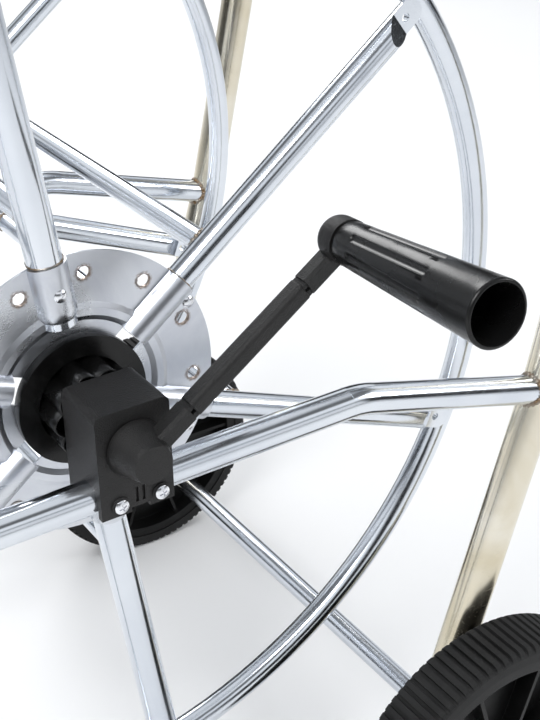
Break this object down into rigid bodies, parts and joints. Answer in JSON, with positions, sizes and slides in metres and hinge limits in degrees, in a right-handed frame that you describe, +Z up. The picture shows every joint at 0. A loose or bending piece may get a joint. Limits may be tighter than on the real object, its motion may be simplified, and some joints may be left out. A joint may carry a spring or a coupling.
{
  "type": "garden hose reel cart",
  "caption": "Wheeled tubular-steel cart carrying a spoked hose reel turned by a side crank with a rotating hand grip.",
  "frame": {"origin": "on the floor, under the middle of the cart's overall box", "axes": "+X towards the push handle, +Y from the crank side to the water side, +Z up"},
  "size_m": [0.7778, 0.6357, 0.949],
  "materials": {
    "zinc_tube": "bright bluish zinc plating with a faint drawn grain",
    "zinc_warm": "zinc plating with a faint yellow passivation tint",
    "zinc_disc": "satin zinc-plated pressed sheet",
    "textured_black": "fine spark-textured black moulded plastic",
    "satin_black": "satin black moulded plastic",
    "wheel_black": "plain black moulded plastic",
    "tyre_rubber": "matt black rubber",
    "soft_rubber": "matt black rubber",
    "screw_steel": "bright zinc-plated steel"
  },
  "bodies": {
    "frame": {"side_tube_near": "zinc_tube", "side_tube_far": "zinc_tube", "front_foot": "zinc_tube", "foot_caps": "soft_rubber", "upright_near": "zinc_warm", "upright_far": "zinc_warm", "upright_caps": "textured_black", "push_handle": "zinc_tube", "handle_sleeve": "soft_rubber", "handle_bolts": "screw_steel", "axle_tube": "zinc_tube", "axle_rod": "screw_steel", "axle_washers": "screw_steel", "axle_caps": "satin_black", "bearing_block_near": "textured_black", "bearing_block_far": "textured_black", "block_screws": "screw_steel"},
    "reel": {"reel_disc_front": "zinc_disc", "reel_disc_rear": "zinc_disc", "rim_front": "zinc_tube", "rim_rear": "zinc_tube", "main_spokes_front": "zinc_tube", "main_spokes_rear": "zinc_tube", "thin_spokes_front": "zinc_tube", "thin_spokes_rear": "zinc_tube", "drum_bars": "zinc_tube", "disc_rivets": "screw_steel", "hub_front": "satin_black", "hub_rear": "satin_black", "hub_screws": "screw_steel", "hose_outlet": "textured_black", "crank_hub": "textured_black", "crank_arm": "textured_black", "crank_elbow": "textured_black", "crank_screw": "screw_steel", "grip_screw": "screw_steel", "inlet_seal": "soft_rubber"},
    "hand_grip": {"grip": "satin_black"},
    "near_wheel": {"wheel_near": "wheel_black", "tyre_near": "tyre_rubber"},
    "far_wheel": {"wheel_far": "wheel_black", "tyre_far": "tyre_rubber"},
    "inlet": {"inlet_elbow": "textured_black"}
  },
  "joints": [
    {"name": "reel_spin", "type": "hinge", "parent": "frame", "child": "reel", "pos_m": [-0.04644, -0.11607, 0.434], "axis": [0, -1, 0], "continuous": true},
    {"name": "grip_spin", "type": "hinge", "parent": "reel", "child": "hand_grip", "pos_m": [0.06977, -0.19157, 0.52369], "axis": [-0.0734, -0.9927, 0.0955], "continuous": true},
    {"name": "near_wheel_roll", "type": "hinge", "parent": "frame", "child": "near_wheel", "pos_m": [0.19691, -0.20467, 0.1068], "axis": [0, 1, 0], "continuous": true},
    {"name": "far_wheel_roll", "type": "hinge", "parent": "frame", "child": "far_wheel", "pos_m": [0.19691, 0.28953, 0.1068], "axis": [0, 1, 0], "continuous": true},
    {"name": "inlet_swivel", "type": "hinge", "parent": "frame", "child": "inlet", "pos_m": [-0.04644, 0.28383, 0.434], "axis": [0, 1, 0], "continuous": true}
  ]
}
